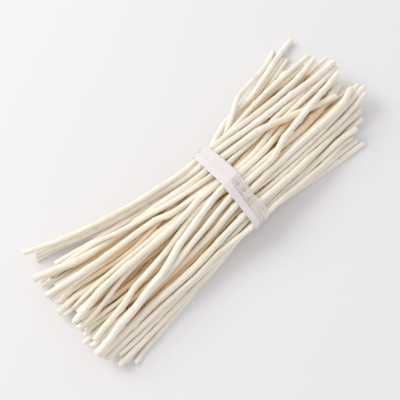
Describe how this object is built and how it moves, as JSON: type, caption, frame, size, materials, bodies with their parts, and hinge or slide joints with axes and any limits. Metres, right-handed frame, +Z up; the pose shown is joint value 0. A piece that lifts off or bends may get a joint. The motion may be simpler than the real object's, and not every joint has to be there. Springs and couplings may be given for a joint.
{
  "type": "bundle of twigs",
  "caption": "Bundle of straight, slightly kinked peeled pale twigs lying on its side, gathered in the middle by a flat wound film tie and fanning out at both ends.",
  "frame": {"origin": "on the surface that the bundle lies on, under the middle of its length and width", "axes": "+X along the twigs, towards the shorter, right-hand fan; +Y across the bundle; +Z up from the surface"},
  "size_m": [0.3462, 0.1406, 0.0386],
  "materials": {
    "twig_cream": "peeled, bleached wood, cream, matt with a fine lengthwise grain",
    "twig_straw": "peeled, bleached wood, straw yellow, matt with a fine lengthwise grain",
    "twig_pale": "peeled, bleached wood, nearly white, matt with a fine lengthwise grain",
    "twig_buff": "peeled, bleached wood, warm buff, matt with a fine lengthwise grain",
    "tie_film": "thin white translucent plastic film, wound flat, pleated, half gloss"
  },
  "bodies": {
    "root": {"twig_01": "twig_cream", "twig_02": "twig_straw", "twig_03": "twig_pale", "twig_04": "twig_buff", "twig_05": "twig_cream", "twig_06": "twig_straw", "twig_07": "twig_pale", "twig_08": "twig_buff", "twig_09": "twig_cream", "twig_10": "twig_straw", "twig_11": "twig_pale", "twig_12": "twig_buff", "twig_13": "twig_cream", "twig_14": "twig_straw", "twig_15": "twig_pale", "twig_16": "twig_buff", "twig_17": "twig_cream", "twig_18": "twig_straw", "twig_19": "twig_pale", "twig_20": "twig_buff", "twig_21": "twig_cream", "twig_22": "twig_straw", "twig_23": "twig_pale", "twig_24": "twig_buff", "twig_25": "twig_cream", "twig_26": "twig_straw", "twig_27": "twig_pale", "twig_28": "twig_buff", "twig_29": "twig_cream", "twig_30": "twig_straw", "twig_31": "twig_pale", "twig_32": "twig_buff", "twig_33": "twig_cream", "twig_34": "twig_straw", "twig_35": "twig_pale", "twig_36": "twig_buff", "twig_37": "twig_cream", "twig_38": "twig_straw", "twig_39": "twig_pale", "twig_40": "twig_buff", "twig_41": "twig_cream", "twig_42": "twig_straw", "twig_43": "twig_pale", "twig_44": "twig_buff", "twig_45": "twig_cream", "twig_46": "twig_straw", "twig_47": "twig_pale", "twig_48": "twig_buff", "twig_49": "twig_cream", "twig_50": "twig_straw", "twig_51": "twig_pale", "twig_52": "twig_buff", "twig_53": "twig_cream", "twig_54": "twig_straw", "twig_55": "twig_pale", "twig_56": "twig_buff", "twig_57": "twig_cream", "twig_58": "twig_straw", "tie_band": "tie_film"}
  },
  "joints": []
}
